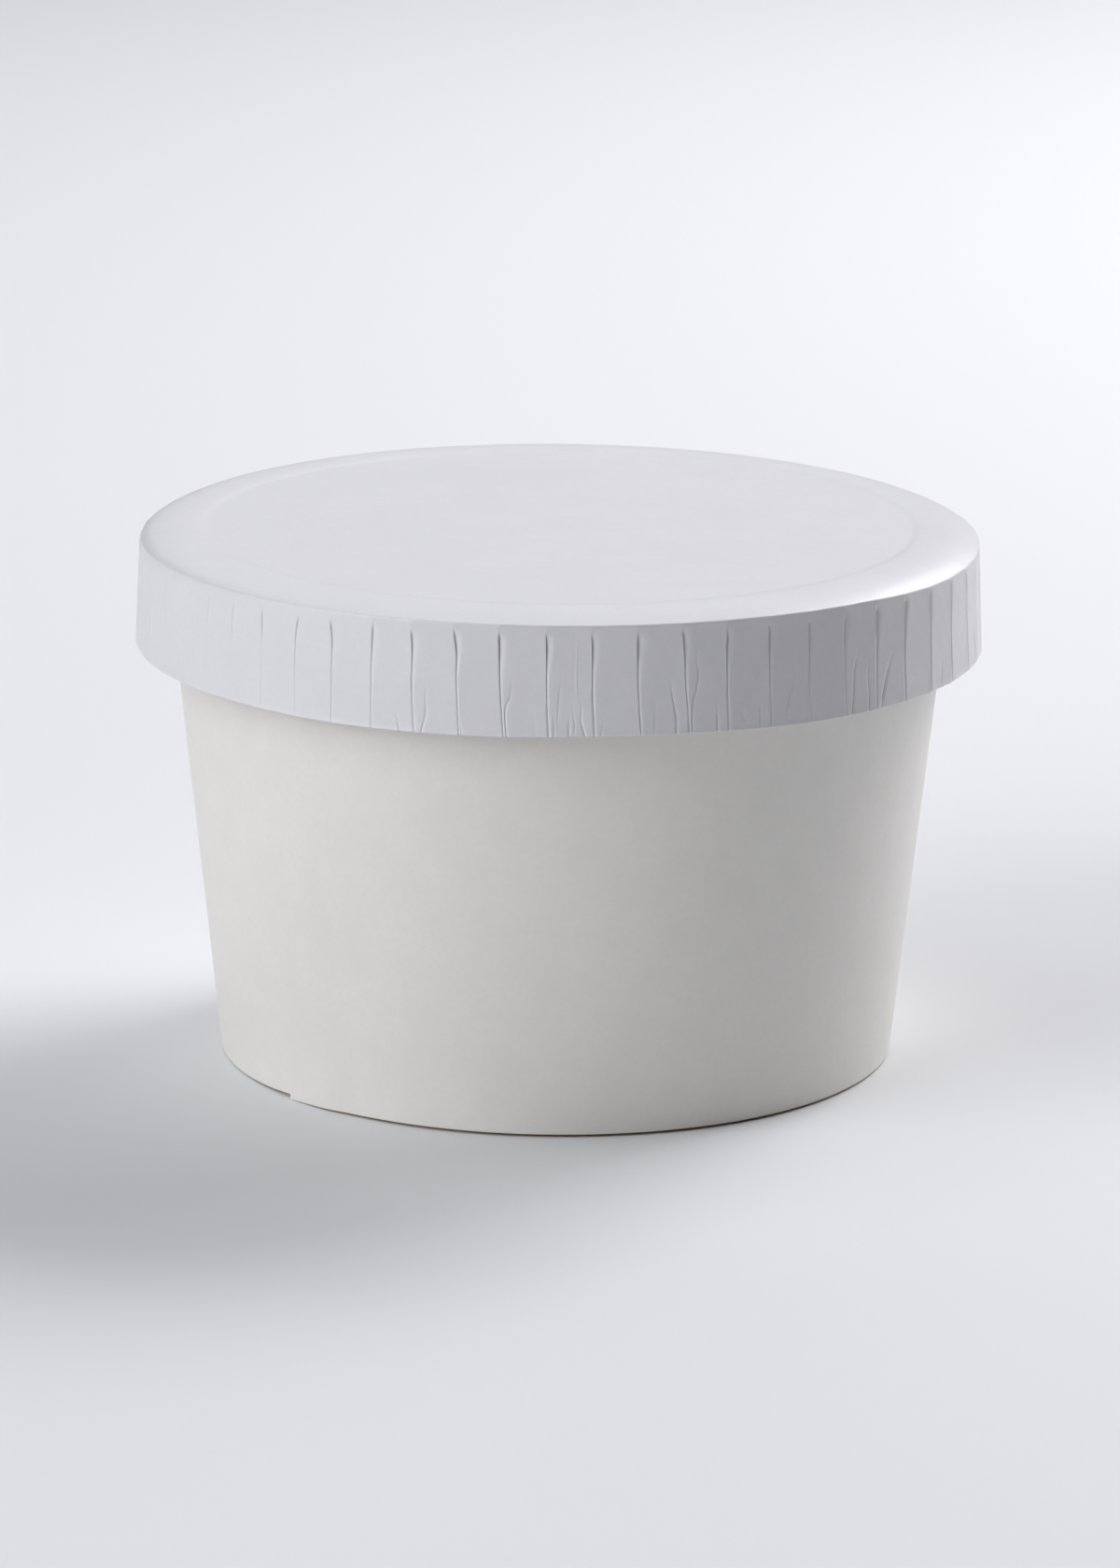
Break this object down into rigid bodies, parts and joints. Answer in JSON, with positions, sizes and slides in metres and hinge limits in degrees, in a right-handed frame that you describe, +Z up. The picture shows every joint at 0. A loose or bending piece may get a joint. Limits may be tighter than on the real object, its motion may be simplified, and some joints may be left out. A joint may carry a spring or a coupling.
{
  "type": "lidded paper food tub",
  "caption": "Round white paper food tub with a tapered lapped wall, a recessed base and a pressed paper lid with a pleated skirt.",
  "frame": {"origin": "centre of the foot, on the surface that the tub stands on", "axes": "+Z up along the tub's axis from the foot to the lid; +X to the viewer's right and +Y away from a viewer who has the side seam on the left front"},
  "size_m": [0.118, 0.118, 0.0746],
  "materials": {
    "lid_paper": "smooth satin coated paper, cool white",
    "tub_paper": "matte uncoated-looking white board with a faint fibre mottle",
    "base_paper": "matte white board"
  },
  "bodies": {
    "root": {"lid": "lid_paper", "tub": "tub_paper", "base_disc": "base_paper"}
  },
  "joints": []
}
